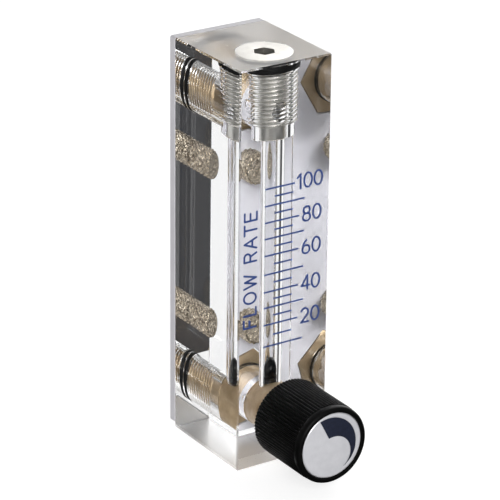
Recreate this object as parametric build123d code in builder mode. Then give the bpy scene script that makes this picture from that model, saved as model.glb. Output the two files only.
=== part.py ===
from build123d import *
from math import cos, pi, radians, sin, sqrt
import os

# A clear acrylic block flowmeter: a ball floats in a tapered bore in front of a printed
# scale, and a needle valve with a knurled knob meters the inlet. Millimetres, +Z up, the
# scale and the knob face -Y. The origin is the centre of the block's base.

# --- driving dimensions -------------------------------------------------------
BLOCK_W, BLOCK_D, BLOCK_H = 25.4, 28.575, 101.6
EDGE_CHAMFER = 0.35
FRONT_Y, BACK_Y = -BLOCK_D / 2, BLOCK_D / 2

PORT_Z = 12.7                     # inlet and valve axis
OUTLET_Z = 88.9                   # outlet axis, 76.2 above the inlet
INSERT_SPACING = 41.275
INSERT_Z = [BLOCK_H / 2 - INSERT_SPACING / 2, BLOCK_H / 2 + INSERT_SPACING / 2]

TUBE_Y = FRONT_Y + 9.525          # vertical axis of the float bore and the plug
TUBE_R_LOW, TUBE_R_HIGH = 3.00, 3.12
TUBE_TOP_Z = 82.0

THREAD_R, THREAD_PITCH, THREAD_DEPTH = 6.35, 1.058, 0.52      # 24 threads to the inch
FIT = 0.05                        # radial clearance of static fits
RUN = 0.03                        # radial clearance of running fits

HEAD_R, HEAD_T = 6.85, 1.3        # plug head, flush with the top of the block
PLUG_RING_T = 1.9
PLUG_THREAD_LOW_Z = 85.4
PILOT_R = 5.6
SOCKET_AF, SOCKET_DEPTH = 4.76, 4.6
PLUG_BORE_R, PLUG_BORE_TOP_Z = 3.4, 93.0
CROSS_HOLE_R = 2.4

SHANK_R = THREAD_R - THREAD_DEPTH
PORT_RING_R, PORT_RING_T, PORT_NECK_R = 6.55, 1.9, 5.2
HEX_AF, HEX_T, HEX_CHAMFER = 17.46, 5.0, 0.8
OUTLET_HEX_TURN, INLET_HEX_TURN = 0, 15     # how far each head is turned when tight
PIPE_R, PIPE_DEPTH = 4.35, 9.0    # 1/8 in pipe thread, at its tap-drill size
PASSAGE_R = 1.9
OUTLET_NOSE_Y = TUBE_Y + 6.75
INLET_NOSE_Y = FRONT_Y + 12.7
NOSE_PLAIN = 3.2                  # unthreaded length at the inlet adapter's nose

INSERT_R, INSERT_L, INSERT_HOLE_R, INSERT_HOLE_DEPTH = 3.95, 9.2, 2.05, 7.6

PLATE_T, PLATE_LOW_Z, PLATE_CORNER = 2.0, 1.2, 0.6
PLATE_HEAD_GAP, PLATE_SCREW_R = 0.35, 2.8
STANDOFF = 0.02                   # air between faces that rest on each other

BALL_R = 2.87
STOP_RING_LOW_Z, STOP_RING_T, STOP_HOLE_R = 18.9, 0.74, 2.2
STOP_RING_TOP_Z = STOP_RING_LOW_Z + STOP_RING_T
STOP_CUP_R, STOP_CUP_Z = 2.62, STOP_RING_TOP_Z + 0.5     # rim of the cup round the ball
BALL_Z = STOP_RING_TOP_Z + sqrt(BALL_R**2 - STOP_HOLE_R**2) + 0.02
STOP_PIN_R, STOP_PIN_Z = 0.5, 83.3

VALVE_BORE_R = 6.2
BODY_L, SLEEVE_L = 6.4, 12.6      # ends of the valve body's solid part and of its sleeve
SLEEVE_BORE_R, FLOW_HOLE_R = 4.2, 2.7
FLANGE_R, FLANGE_T = 6.9, 1.8
BODY_NECK_R, BODY_RING_T = 5.2, 1.0
BONNET_R, BONNET_L = 4.6, 5.0
STEM_R, STEM_THREAD_R, NEEDLE_R, NEEDLE_TIP_R = 2.0, 2.6, 0.95, 0.3
STEM_THREAD_PITCH, STEM_THREAD_DEPTH = 0.794, 0.35
LAND_R, LAND_T = 2.92, 0.3        # the two lands beside the stem's O-ring
STEM_GROOVE_R, STEM_RING_T, STEM_RING_DEPTH = 1.72, 1.6, 4.1
CLIP_R, CLIP_T, CLIP_GROOVE_R, CLIP_SLOT_W = 3.4, 0.8, 1.5, 1.8
STEM_LIFT = 3.8                   # travel of the stem from shut to open
STEM_FRONT = 16.8                 # the stem's end, in front of the block's face
SEAT_R, SEAT_T, SEAT_HOLE_R = 3.4, 2.4, 1.0

KNOB_R, KNOB_BASE, KNOB_FRONT = 9.85, 2.7, 21.7
KNOB_RECESS_R, BUSH_R = 5.0, 4.4
BUSH_BASE, BUSH_FRONT = 7.6, 17.0
SCREW_FRONT, SCREW_R, SCREW_END_R = 12.0, 1.45, 7.2
KEY_AF, KEY_DEPTH = 1.5, 1.8      # the set screw's hexagon socket
KNURL_COUNT, KNURL_DEPTH = 72, 0.35
RIM_W, RIM_ROUND = 2.2, 0.9
CAP_R, CAP_T, CAP_DOME, CAP_INSET = 8.35, 1.2, 0.55, 0.15

INK_T, INK_GAP = 0.05, 0.01
TICK_W, STROKE_W = 0.42, 0.5
DIGIT_H, LETTER_H = 3.9, 3.65
# Heights of the marks 10, 20 ... 100. A float scale is calibrated, so its steps are uneven.
DECADE_Z = [31.1, 36.7, 41.15, 45.2, 49.7, 54.5, 58.8, 62.9, 67.1, 71.4]


def y_in(depth):
    """The y of a point this far behind the block's front face (negative: in front)."""
    return FRONT_Y + depth


def facing(y, height=0.0, x=0.0):
    """A plane across the Y axis whose normal points to the front and whose up is +Z."""
    return Plane(origin=(x, y, height), x_dir=(1, 0, 0), z_dir=(0, -1, 0))


def level(z):
    """A level plane centred on the float bore."""
    return Plane(origin=(0, TUBE_Y, z), x_dir=(1, 0, 0), z_dir=(0, 0, 1))


def sideways(z):
    """A plane across the X axis, centred on the float bore at this height."""
    return Plane(origin=(0, TUBE_Y, z), x_dir=(0, 1, 0), z_dir=(1, 0, 0))


def save(builder, name):
    builder.part.label = name
    export_step(builder.part, f"parts/{name}.step")


def turned(axis_plane, outline, mode=Mode.ADD):
    """Revolve an outline of (radius, position) points about the plane's local Y."""
    with BuildSketch(axis_plane) as half:
        with BuildLine():
            Polyline(*outline, close=True)
        make_face()
    revolve(half.sketch, axis=Axis(axis_plane.origin, axis_plane.y_dir), mode=mode)


def threaded(start, end, major, pitch=THREAD_PITCH, depth=THREAD_DEPTH):
    """Points along a thread's flanks from start to end, as annular ridges."""
    turns = int(abs(end - start) / pitch)
    step = (end - start) / turns
    points = []
    for turn in range(turns):
        at = start + turn * step
        points += [(major - depth, at), (major - depth, at + 0.12 * step)]
        points += [(major, at + 0.44 * step), (major, at + 0.68 * step)]
    return points + [(major - depth, end)]


def up_axis():
    """Local X is the radius and local Y is +Z, about the float bore."""
    return Plane(origin=(0, TUBE_Y, 0), x_dir=(1, 0, 0), z_dir=(0, -1, 0))


def back_axis(height):
    """Local X is the radius and local Y is +Y, about a level axis at this height."""
    return Plane(origin=(0, 0, height), x_dir=(1, 0, 0), z_dir=(0, 0, 1))


def o_ring(axis_plane, inner, outer, low, high):
    """A seal squeezed into its gland: a ring with well rounded corners."""
    with BuildSketch(axis_plane) as half:
        with Locations(((inner + outer) / 2, (low + high) / 2)):
            RectangleRounded(outer - inner, high - low, 0.48 * min(outer - inner, high - low))
    revolve(half.sketch, axis=Axis(axis_plane.origin, axis_plane.y_dir))


os.makedirs("parts", exist_ok=True)

# --- block and backing plate --------------------------------------------------
with BuildPart() as acrylic_block:
    with BuildSketch():
        Rectangle(BLOCK_W, BLOCK_D)
    extrude(amount=BLOCK_H)
    chamfer(acrylic_block.edges(), EDGE_CHAMFER)
    # Stepped hole for the top plug: head, thread, pilot.
    for radius, low in ((HEAD_R + FIT, BLOCK_H - HEAD_T - PLUG_RING_T),
                        (THREAD_R, PLUG_THREAD_LOW_Z), (PILOT_R + FIT, TUBE_TOP_Z)):
        with BuildSketch(level(low)):
            Circle(radius)
        extrude(amount=BLOCK_H - low, mode=Mode.SUBTRACT)
    # The float bore, a slow taper that opens into the valve bore below it.
    with BuildSketch(level(PORT_Z)):
        Circle(TUBE_R_LOW)
    with BuildSketch(level(TUBE_TOP_Z)):
        Circle(TUBE_R_HIGH)
    loft(mode=Mode.SUBTRACT)
    # Ports from the back, each with a counterbore for its O-ring, and the valve bore.
    for height, nose in ((OUTLET_Z, TUBE_Y), (PORT_Z, INLET_NOSE_Y - 0.1)):
        with BuildSketch(facing(BACK_Y, height)):
            Circle(PORT_RING_R)
        extrude(amount=PORT_RING_T, mode=Mode.SUBTRACT)
        with BuildSketch(facing(BACK_Y, height)):
            Circle(THREAD_R)
        extrude(amount=BACK_Y - nose, mode=Mode.SUBTRACT)
    with BuildSketch(facing(FRONT_Y, PORT_Z)):
        Circle(VALVE_BORE_R)
    extrude(amount=-(INLET_NOSE_Y - FRONT_Y), mode=Mode.SUBTRACT)
    for height in INSERT_Z:
        with BuildSketch(facing(BACK_Y, height)):
            Circle(INSERT_R + 0.02)
        extrude(amount=INSERT_L + 0.1, mode=Mode.SUBTRACT)
save(acrylic_block, "acrylic_block")

with BuildPart() as backing_plate:
    with BuildSketch(facing(BACK_Y + PLATE_T, (BLOCK_H + PLATE_LOW_Z) / 2)):
        RectangleRounded(BLOCK_W, BLOCK_H - PLATE_LOW_Z, PLATE_CORNER)
    extrude(amount=PLATE_T - STANDOFF)
    # Hexagonal holes that keep the adapters' heads from turning, and holes for the screws.
    for height, hex_turn in ((OUTLET_Z, OUTLET_HEX_TURN), (PORT_Z, INLET_HEX_TURN)):
        with BuildSketch(facing(BACK_Y + PLATE_T, height)):
            RegularPolygon(HEX_AF / 2 + PLATE_HEAD_GAP, 6, major_radius=False, rotation=hex_turn)
        extrude(amount=PLATE_T, mode=Mode.SUBTRACT)
    for height in INSERT_Z:
        with BuildSketch(facing(BACK_Y + PLATE_T, height)):
            Circle(PLATE_SCREW_R)
        extrude(amount=PLATE_T, mode=Mode.SUBTRACT)
save(backing_plate, "backing_plate")

# --- top plug -----------------------------------------------------------------
RING_LOW_Z = BLOCK_H - HEAD_T - PLUG_RING_T
with BuildPart() as top_plug:
    turned(up_axis(), [(0, TUBE_TOP_Z + 0.1), (PILOT_R, TUBE_TOP_Z + 0.1)]
           + [(PILOT_R, PLUG_THREAD_LOW_Z + 0.05)]
           + threaded(PLUG_THREAD_LOW_Z + 0.05, RING_LOW_Z, THREAD_R - FIT)
           + [(SHANK_R, BLOCK_H - HEAD_T)]
           + [(HEAD_R, BLOCK_H - HEAD_T), (HEAD_R, BLOCK_H - 0.25), (HEAD_R - 0.25, BLOCK_H)]
           + [(0, BLOCK_H)])
    # Hexagon socket from above; flow chamber and cross holes from below.
    with BuildSketch(level(BLOCK_H - SOCKET_DEPTH)):
        RegularPolygon(SOCKET_AF / 2, 6, major_radius=False)
    extrude(amount=SOCKET_DEPTH, mode=Mode.SUBTRACT)
    with BuildSketch(level(TUBE_TOP_Z)):
        Circle(PLUG_BORE_R)
    extrude(amount=PLUG_BORE_TOP_Z - TUBE_TOP_Z, mode=Mode.SUBTRACT)
    for side_plane in (facing(TUBE_Y, OUTLET_Z), sideways(OUTLET_Z)):
        with BuildSketch(side_plane):
            Circle(CROSS_HOLE_R)
        extrude(amount=THREAD_R, both=True, mode=Mode.SUBTRACT)
    # Hole for the pin that stops the ball.
    with BuildSketch(sideways(STOP_PIN_Z)):
        Circle(STOP_PIN_R + 0.01)
    extrude(amount=PILOT_R, both=True, mode=Mode.SUBTRACT)
save(top_plug, "top_plug")

with BuildPart() as upper_float_stop:
    with BuildSketch(sideways(STOP_PIN_Z)):
        Circle(STOP_PIN_R)
    extrude(amount=PILOT_R - 0.2, both=True)
save(upper_float_stop, "upper_float_stop")

with BuildPart() as top_plug_o_ring:
    o_ring(up_axis(), SHANK_R + 0.01, HEAD_R, RING_LOW_Z + 0.03, BLOCK_H - HEAD_T - 0.03)
save(top_plug_o_ring, "top_plug_o_ring")

# --- port adapters ------------------------------------------------------------
HEX_CORNER_R = HEX_AF / 2 / cos(radians(30))
for name, height, nose, hex_turn in (("outlet", OUTLET_Z, OUTLET_NOSE_Y, OUTLET_HEX_TURN),
                                     ("inlet", PORT_Z, INLET_NOSE_Y, INLET_HEX_TURN)):
    with BuildPart() as adapter:
        # A hexagon whose corners the lathe has rounded off, then the threaded shank.
        head_back = BACK_Y + HEX_T
        with BuildSketch(facing(head_back, height)):
            RegularPolygon(HEX_AF / 2, 6, major_radius=False, rotation=hex_turn)
        extrude(amount=HEX_T)
        turned(back_axis(height),
               [(0, BACK_Y), (HEX_CORNER_R - HEX_CHAMFER, BACK_Y)]
               + [(HEX_CORNER_R, BACK_Y + HEX_CHAMFER / 2)]
               + [(HEX_CORNER_R, head_back - HEX_CHAMFER / 2)]
               + [(HEX_CORNER_R - HEX_CHAMFER, head_back), (0, head_back)],
               mode=Mode.INTERSECT)
        thread_start, plain_nose = nose, []
        if name == "inlet":
            thread_start = nose + NOSE_PLAIN
            plain_nose = [(THREAD_R - FIT, nose), (THREAD_R - FIT, thread_start)]
        turned(back_axis(height),
               [(0, nose)] + plain_nose
               + threaded(thread_start, BACK_Y - PORT_RING_T, THREAD_R - FIT)
               + [(PORT_NECK_R, BACK_Y - PORT_RING_T), (PORT_NECK_R, BACK_Y), (0, BACK_Y)])
        for radius, depth in ((PIPE_R, PIPE_DEPTH), (PASSAGE_R, head_back - nose)):
            with BuildSketch(facing(head_back, height)):
                Circle(radius)
            extrude(amount=depth, mode=Mode.SUBTRACT)
        if name == "inlet":
            with BuildSketch(facing(nose, height)):
                Circle(SEAT_R + 0.02)
            extrude(amount=-SEAT_T, mode=Mode.SUBTRACT)
    save(adapter, f"{name}_port_adapter")
    with BuildPart() as port_ring:
        o_ring(back_axis(height), PORT_NECK_R + 0.01, PORT_RING_R - 0.02,
               BACK_Y - PORT_RING_T + 0.03, BACK_Y - 0.03)
    save(port_ring, f"{name}_port_o_ring")

# --- threaded inserts that fasten the meter to a panel ---------------------------
for name, height in zip(("lower", "upper"), INSERT_Z):
    with BuildPart() as insert:
        with BuildSketch(facing(BACK_Y - 0.02, height)):
            Circle(INSERT_R)
        extrude(amount=INSERT_L)
        chamfer(insert.edges(), 0.3)
        with BuildSketch(facing(BACK_Y, height)):
            Circle(INSERT_HOLE_R)
        extrude(amount=INSERT_HOLE_DEPTH, mode=Mode.SUBTRACT)
    save(insert, f"{name}_mounting_insert")

# --- float ----------------------------------------------------------------------
with BuildPart() as float_ball:
    with Locations((0, TUBE_Y, BALL_Z)):
        Sphere(BALL_R)
save(float_ball, "float_ball")

with BuildPart() as lower_float_stop:
    outer = TUBE_R_LOW - STANDOFF
    turned(up_axis(), [(STOP_HOLE_R, STOP_RING_LOW_Z), (outer, STOP_RING_LOW_Z)]
           + [(outer, STOP_CUP_Z), (STOP_CUP_R, STOP_CUP_Z), (STOP_HOLE_R, STOP_RING_TOP_Z)])
save(lower_float_stop, "lower_float_stop")

# --- needle valve: outlines are (radius, y) about the inlet's axis ------------------
VALVE_AXIS = back_axis(PORT_Z)
THREAD_IN, THREAD_OUT = y_in(-0.2), y_in(-FLANGE_T - BONNET_L)   # the body's stem thread
with BuildPart() as valve_body:
    sleeve_r = VALVE_BORE_R - FIT
    turned(VALVE_AXIS,
           [(SLEEVE_BORE_R, y_in(SLEEVE_L)), (sleeve_r, y_in(SLEEVE_L))]
           + [(sleeve_r, y_in(BODY_RING_T)), (BODY_NECK_R, y_in(BODY_RING_T))]
           + [(BODY_NECK_R, FRONT_Y - STANDOFF), (FLANGE_R, FRONT_Y - STANDOFF)]
           + [(FLANGE_R, y_in(-FLANGE_T)), (BONNET_R, y_in(-FLANGE_T)), (BONNET_R, THREAD_OUT)]
           + [(STEM_THREAD_R + RUN, THREAD_OUT), (STEM_THREAD_R + RUN, THREAD_IN)]
           + [(LAND_R + RUN, THREAD_IN), (LAND_R + RUN, y_in(BODY_L))]
           + [(SLEEVE_BORE_R, y_in(BODY_L))])
    # The hole that lets the flow up into the float bore.
    with BuildSketch(level(PORT_Z)):
        Circle(FLOW_HOLE_R)
    extrude(amount=VALVE_BORE_R, mode=Mode.SUBTRACT)
save(valve_body, "valve_body")

with BuildPart() as valve_body_o_ring:
    o_ring(VALVE_AXIS, BODY_NECK_R + 0.01, VALVE_BORE_R - 0.01, y_in(0.02), y_in(BODY_RING_T - 0.02))
save(valve_body_o_ring, "valve_body_o_ring")

with BuildPart() as valve_seat:
    turned(VALVE_AXIS, [(SEAT_HOLE_R, INLET_NOSE_Y), (SEAT_R, INLET_NOSE_Y)]
           + [(SEAT_R, INLET_NOSE_Y + SEAT_T - STANDOFF)]
           + [(SEAT_HOLE_R, INLET_NOSE_Y + SEAT_T - STANDOFF)])
save(valve_seat, "valve_seat")

RING_BACK = y_in(STEM_RING_DEPTH + STEM_RING_T)
RING_FRONT = y_in(STEM_RING_DEPTH)
CLIP_FRONT = y_in(BODY_L + STEM_LIFT + 0.15)
CLIP_BACK = CLIP_FRONT + CLIP_T
STEM_END = y_in(-STEM_FRONT)
with BuildPart() as needle_stem:
    turned(VALVE_AXIS,
           [(0, INLET_NOSE_Y + SEAT_T), (NEEDLE_TIP_R, INLET_NOSE_Y + SEAT_T)]
           + [(NEEDLE_R, INLET_NOSE_Y - STANDOFF), (STEM_R, INLET_NOSE_Y - 1.0)]
           + [(STEM_R, CLIP_BACK), (CLIP_GROOVE_R, CLIP_BACK)]
           + [(CLIP_GROOVE_R, CLIP_FRONT), (STEM_R, CLIP_FRONT)]
           + [(STEM_R, RING_BACK + STANDOFF + LAND_T), (LAND_R, RING_BACK + STANDOFF + LAND_T)]
           + [(LAND_R, RING_BACK + STANDOFF), (STEM_GROOVE_R, RING_BACK + STANDOFF)]
           + [(STEM_GROOVE_R, RING_FRONT), (LAND_R, RING_FRONT), (LAND_R, RING_FRONT - LAND_T)]
           + [(STEM_R, RING_FRONT - LAND_T)]
           + threaded(RING_FRONT - LAND_T - 0.2, THREAD_OUT, STEM_THREAD_R, STEM_THREAD_PITCH,
                      STEM_THREAD_DEPTH)
           + [(STEM_R, THREAD_OUT), (STEM_R, STEM_END + 0.3), (STEM_R - 0.3, STEM_END)]
           + [(0, STEM_END)])
save(needle_stem, "needle_stem")

with BuildPart() as stem_o_ring:
    o_ring(VALVE_AXIS, STEM_GROOVE_R + 0.01, LAND_R + 0.01, RING_FRONT + STANDOFF, RING_BACK)
save(stem_o_ring, "stem_o_ring")

with BuildPart() as stem_stop_clip:
    inner, low, high = CLIP_GROOVE_R + 0.01, CLIP_FRONT + STANDOFF, CLIP_BACK - STANDOFF
    turned(VALVE_AXIS, [(inner, low), (CLIP_R, low), (CLIP_R, high), (inner, high)])
    with BuildSketch(facing(CLIP_FRONT, PORT_Z - CLIP_R)):
        Rectangle(CLIP_SLOT_W, 2 * CLIP_R)
    extrude(amount=-CLIP_T, mode=Mode.SUBTRACT)
save(stem_stop_clip, "stem_stop_clip")

# --- knob -----------------------------------------------------------------------
def screw_plane(x):
    """A plane across the set screw's axis, which runs out along +X."""
    return Plane(origin=(x, y_in(-SCREW_FRONT), PORT_Z), x_dir=(0, 1, 0), z_dir=(1, 0, 0))


with BuildPart() as knob:
    with BuildSketch(facing(y_in(-KNOB_BASE), PORT_Z)):
        with BuildLine():
            Polyline(*[((KNOB_R - KNURL_DEPTH * (tooth % 2)) * cos(tooth * pi / KNURL_COUNT),
                        (KNOB_R - KNURL_DEPTH * (tooth % 2)) * sin(tooth * pi / KNURL_COUNT))
                       for tooth in range(2 * KNURL_COUNT)], close=True)
        make_face()
    extrude(amount=KNOB_FRONT - KNOB_BASE - RIM_W)
    with BuildSketch(facing(y_in(RIM_W - KNOB_FRONT), PORT_Z)):
        Circle(KNOB_R - 0.15)
    extrude(amount=RIM_W)
    fillet(knob.edges().filter_by(GeomType.CIRCLE).sort_by(Axis.Y)[0], RIM_ROUND)
    # Recesses for the bonnet, the bushing and the cap.
    for radius, base, front in ((KNOB_RECESS_R, KNOB_BASE, BUSH_BASE),
                                (BUSH_R + STANDOFF, KNOB_BASE, BUSH_FRONT + 0.2),
                                (CAP_R + 0.03, KNOB_FRONT - CAP_T, KNOB_FRONT)):
        with BuildSketch(facing(y_in(-base), PORT_Z)):
            Circle(radius)
        extrude(amount=front - base, mode=Mode.SUBTRACT)
    with BuildSketch(screw_plane(0)):
        Circle(SCREW_R + 0.03)
    extrude(amount=KNOB_R, mode=Mode.SUBTRACT)
save(knob, "knob")

with BuildPart() as knob_bushing:
    with BuildSketch(facing(y_in(-BUSH_BASE), PORT_Z)):
        Circle(BUSH_R)
        Circle(STEM_R + STANDOFF, mode=Mode.SUBTRACT)
    extrude(amount=BUSH_FRONT - BUSH_BASE)
    with BuildSketch(screw_plane(0)):
        Circle(SCREW_R + 0.02)
    extrude(amount=KNOB_R, mode=Mode.SUBTRACT)
save(knob_bushing, "knob_bushing")

with BuildPart() as knob_set_screw:
    with BuildSketch(screw_plane(STEM_R + STANDOFF)):
        Circle(SCREW_R)
    extrude(amount=SCREW_END_R - STEM_R)
    chamfer(knob_set_screw.edges(), 0.25)
    with BuildSketch(screw_plane(SCREW_END_R)):
        RegularPolygon(KEY_AF / 2, 6, major_radius=False)
    extrude(amount=-KEY_DEPTH, both=True, mode=Mode.SUBTRACT)
save(knob_set_screw, "knob_set_screw")

# The cap is a shallow dome; the crescent on it follows the dome.
CAP_EDGE_Y = y_in(CAP_INSET - KNOB_FRONT)
DOME_R = (CAP_R**2 + CAP_DOME**2) / (2 * CAP_DOME)


def domed(lift, back, mode=Mode.ADD):
    """A disc whose front is the cap's dome, raised by lift, and whose back is flat."""
    apex, half = CAP_EDGE_Y - CAP_DOME - lift, CAP_R / 2
    middle = (half, apex + DOME_R - sqrt(DOME_R**2 - half**2))
    with BuildSketch(VALVE_AXIS) as half_disc:
        with BuildLine():
            ThreePointArc((0, apex), middle, (CAP_R, CAP_EDGE_Y - lift))
            Polyline((CAP_R, CAP_EDGE_Y - lift), (CAP_R, back), (0, back), (0, apex))
        make_face()
    revolve(half_disc.sketch, axis=Axis(VALVE_AXIS.origin, VALVE_AXIS.y_dir), mode=mode)


with BuildPart() as knob_cap:
    domed(0, y_in(CAP_T - KNOB_FRONT - STANDOFF))
save(knob_cap, "knob_cap")

with BuildPart() as knob_arrow:
    domed(INK_GAP + INK_T, CAP_EDGE_Y)
    with BuildSketch(facing(CAP_EDGE_Y, PORT_Z)):
        with BuildLine():
            # The outer edge to the tail's tip, back along the inner edge, and the thick end.
            ThreePointArc((-3.6, 7.05), (4.4, 5.2), (6.5, -0.5))
            ThreePointArc((6.5, -0.5), (5.6, -3.7), (3.1, -6.0))
            ThreePointArc((3.1, -6.0), (4.7, -4.2), (5.0, -1.9))
            ThreePointArc((5.0, -1.9), (2.9, 1.7), (-1.35, 2.4))
            Line((-1.35, 2.4), (-3.6, 7.05))
        make_face()
    extrude(amount=2, both=True, mode=Mode.INTERSECT)
    domed(INK_GAP, CAP_EDGE_Y, mode=Mode.SUBTRACT)
save(knob_arrow, "knob_arrow")

# --- printed scale: thin ink solids just clear of the front face -------------------
PRINT = facing(FRONT_Y - INK_GAP)


def bar(x_low, x_high, z):
    """One mark of the scale."""
    with Locations(((x_low + x_high) / 2, z)):
        Rectangle(x_high - x_low, TICK_W)


with BuildPart() as scale_ticks:
    with BuildSketch(PRINT):
        for decade, z in enumerate(DECADE_Z, start=1):
            numbered = decade % 2 == 0
            bar(-5.6, 2.7 if decade == len(DECADE_Z) else 4.0 if numbered else 5.5, z)
        for low, high in zip(DECADE_Z, DECADE_Z[1:]):
            bar(-2.9, 2.35, (low + high) / 2)
    extrude(amount=INK_T)
save(scale_ticks, "scale_ticks")

# Strokes of each character in a cell one unit high, its left edge at 0. A list of points
# is a run of straight strokes; (centre, radius x, radius y, start, sweep) is an arc.
GLYPHS = {
    "0": [((0.30, 0.50), 0.28, 0.46, 0, 360)],
    "1": [[(0.04, 0.74), (0.26, 0.96), (0.26, 0.04)]],
    "2": [((0.29, 0.69), 0.26, 0.27, -35, 205), [(0.50, 0.535), (0.03, 0.04), (0.56, 0.04)]],
    "4": [[(0.44, 0.04), (0.44, 0.96), (0.02, 0.29), (0.60, 0.29)]],
    "6": [((0.30, 0.31), 0.26, 0.27, 0, 360), ((0.51, 0.34), 0.45, 0.62, 108, 78)],
    "8": [((0.30, 0.73), 0.23, 0.23, 0, 360), ((0.30, 0.27), 0.27, 0.24, 0, 360)],
    "F": [[(0.07, 0.04), (0.07, 0.96), (0.62, 0.96)], [(0.07, 0.52), (0.54, 0.52)]],
    "L": [[(0.07, 0.96), (0.07, 0.04), (0.58, 0.04)]],
    "O": [((0.42, 0.50), 0.38, 0.46, 0, 360)],
    "W": [[(0.03, 0.96), (0.27, 0.04), (0.50, 0.90), (0.73, 0.04), (0.97, 0.96)]],
    "R": [[(0.07, 0.04), (0.07, 0.96), (0.40, 0.96)], ((0.40, 0.73), 0.24, 0.23, -90, 180),
          [(0.40, 0.50), (0.07, 0.50)], [(0.42, 0.50), (0.64, 0.04)]],
    "A": [[(0.04, 0.04), (0.40, 0.96), (0.76, 0.04)], [(0.17, 0.36), (0.63, 0.36)]],
    "T": [[(0.02, 0.96), (0.70, 0.96)], [(0.36, 0.96), (0.36, 0.04)]],
    "E": [[(0.62, 0.96), (0.07, 0.96), (0.07, 0.04), (0.62, 0.04)], [(0.07, 0.52), (0.56, 0.52)]],
}
ADVANCE = {"1": 0.50, "O": 1.02, "W": 1.14, "A": 0.92, "R": 0.86, "T": 0.86, " ": 0.55}


def advance(character):
    """How far to move on after a character, in its height."""
    return ADVANCE.get(character, 0.74 if character.isdigit() else 0.80)


def write(text, height, stroke, tracking=0.0):
    """Stroke-drawn characters, from the sketch's origin towards its local X."""
    at = 0
    for character in text:
        for line in GLYPHS.get(character, []):
            if isinstance(line, list):
                joints = [((at + x) * height, y * height) for x, y in line]
                for start, end in zip(joints, joints[1:]):
                    with BuildLine(Plane.XY) as path:
                        Line(start, end)
                    trace(path.line, line_width=stroke)
                with Locations(*joints):
                    Circle(stroke / 2)
            else:
                (x, y), radius_x, radius_y, start, sweep = line
                halves = 2 if sweep == 360 else 1
                with BuildLine(Plane.XY) as path:
                    for part in range(halves):
                        EllipticalCenterArc(((at + x) * height, y * height), radius_x * height,
                                            radius_y * height, start + part * sweep / halves,
                                            arc_size=sweep / halves)
                trace(path.line, line_width=stroke)
        at += advance(character) + tracking


with BuildPart() as scale_numerals:
    for decade in (2, 4, 6, 8, 10):
        x, z = (3.3 if decade == 10 else 5.0), DECADE_Z[decade - 1] - DIGIT_H / 2 + 0.1
        with BuildSketch(facing(FRONT_Y - INK_GAP, z, x)):
            write(str(decade * 10), DIGIT_H, STROKE_W)
        extrude(amount=INK_T)
save(scale_numerals, "scale_numerals")

TITLE, TITLE_TRACKING, TITLE_X, TITLE_Z = "FLOW RATE", 0.065, -7.7, 36.9
with BuildPart() as scale_lettering:
    # Reads upwards: local X is +Z and local Y is -X.
    with BuildSketch(Plane(origin=(TITLE_X, FRONT_Y - INK_GAP, TITLE_Z), x_dir=(0, 0, 1),
                           z_dir=(0, -1, 0))):
        write(TITLE, LETTER_H, STROKE_W, TITLE_TRACKING)
    extrude(amount=INK_T)
save(scale_lettering, "scale_lettering")
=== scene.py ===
"""Looks of a clear acrylic flowmeter with a needle valve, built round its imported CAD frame."""

from math import copysign, cos, pi, radians, sin, sqrt, tau

import bmesh
import bpy
from mathutils import Matrix, Vector


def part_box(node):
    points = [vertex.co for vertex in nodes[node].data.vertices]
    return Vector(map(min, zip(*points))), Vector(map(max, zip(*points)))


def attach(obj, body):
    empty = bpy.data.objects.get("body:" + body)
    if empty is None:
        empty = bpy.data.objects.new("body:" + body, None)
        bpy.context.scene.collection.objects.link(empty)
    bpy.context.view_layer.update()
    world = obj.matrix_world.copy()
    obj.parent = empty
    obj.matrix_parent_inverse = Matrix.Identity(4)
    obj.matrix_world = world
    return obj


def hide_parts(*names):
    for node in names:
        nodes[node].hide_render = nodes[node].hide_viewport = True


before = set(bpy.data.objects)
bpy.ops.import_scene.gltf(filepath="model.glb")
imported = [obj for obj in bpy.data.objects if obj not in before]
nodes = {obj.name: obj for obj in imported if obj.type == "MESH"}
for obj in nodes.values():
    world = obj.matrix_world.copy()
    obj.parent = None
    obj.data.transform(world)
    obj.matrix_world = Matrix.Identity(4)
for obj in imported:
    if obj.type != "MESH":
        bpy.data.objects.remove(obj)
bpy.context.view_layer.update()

# Shapes are written in millimetres, in the frame's axes, and scaled when a mesh is made.
MM = 0.001


def span(node):
    """The lowest and highest corners of a CAD node, in millimetres."""
    low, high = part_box(node)
    return low / MM, high / MM


# --- driving dimensions, read from the frame ----------------------------------------
block_low, block_high = span("acrylic_block")
WIDTH, DEPTH, HEIGHT = block_high - block_low
FRONT_Y, BACK_Y = block_low.y, block_high.y

plug_low, plug_high = span("top_plug")
TUBE_Y = (plug_low.y + plug_high.y) / 2
PLUG_LOW_Z = plug_low.z
HEAD_R = (plug_high.x - plug_low.x) / 2
plug_ring_low, plug_ring_high = span("top_plug_o_ring")

outlet_low, outlet_high = span("outlet_port_adapter")
inlet_low, inlet_high = span("inlet_port_adapter")
OUTLET_Z = (outlet_low.z + outlet_high.z) / 2
PORT_Z = (inlet_low.z + inlet_high.z) / 2
HEX_BACK_Y = outlet_high.y
port_ring_low, port_ring_high = span("outlet_port_o_ring")
PORT_GLAND_R = (port_ring_high.x - port_ring_low.x) / 2 + 0.02

INSERTS = ("lower_mounting_insert", "upper_mounting_insert")
insert_low, insert_high = span(INSERTS[0])
INSERT_R = (insert_high.x - insert_low.x) / 2

ball_low, ball_high = span("float_ball")
BALL_R = (ball_high.x - ball_low.x) / 2
BALL_Z = (ball_high.z + ball_low.z) / 2
stop_low, stop_high = span("lower_float_stop")
STOP_R = (stop_high.x - stop_low.x) / 2
TUBE_LOW_R = STOP_R + 0.02
pin_low, pin_high = span("upper_float_stop")

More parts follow.
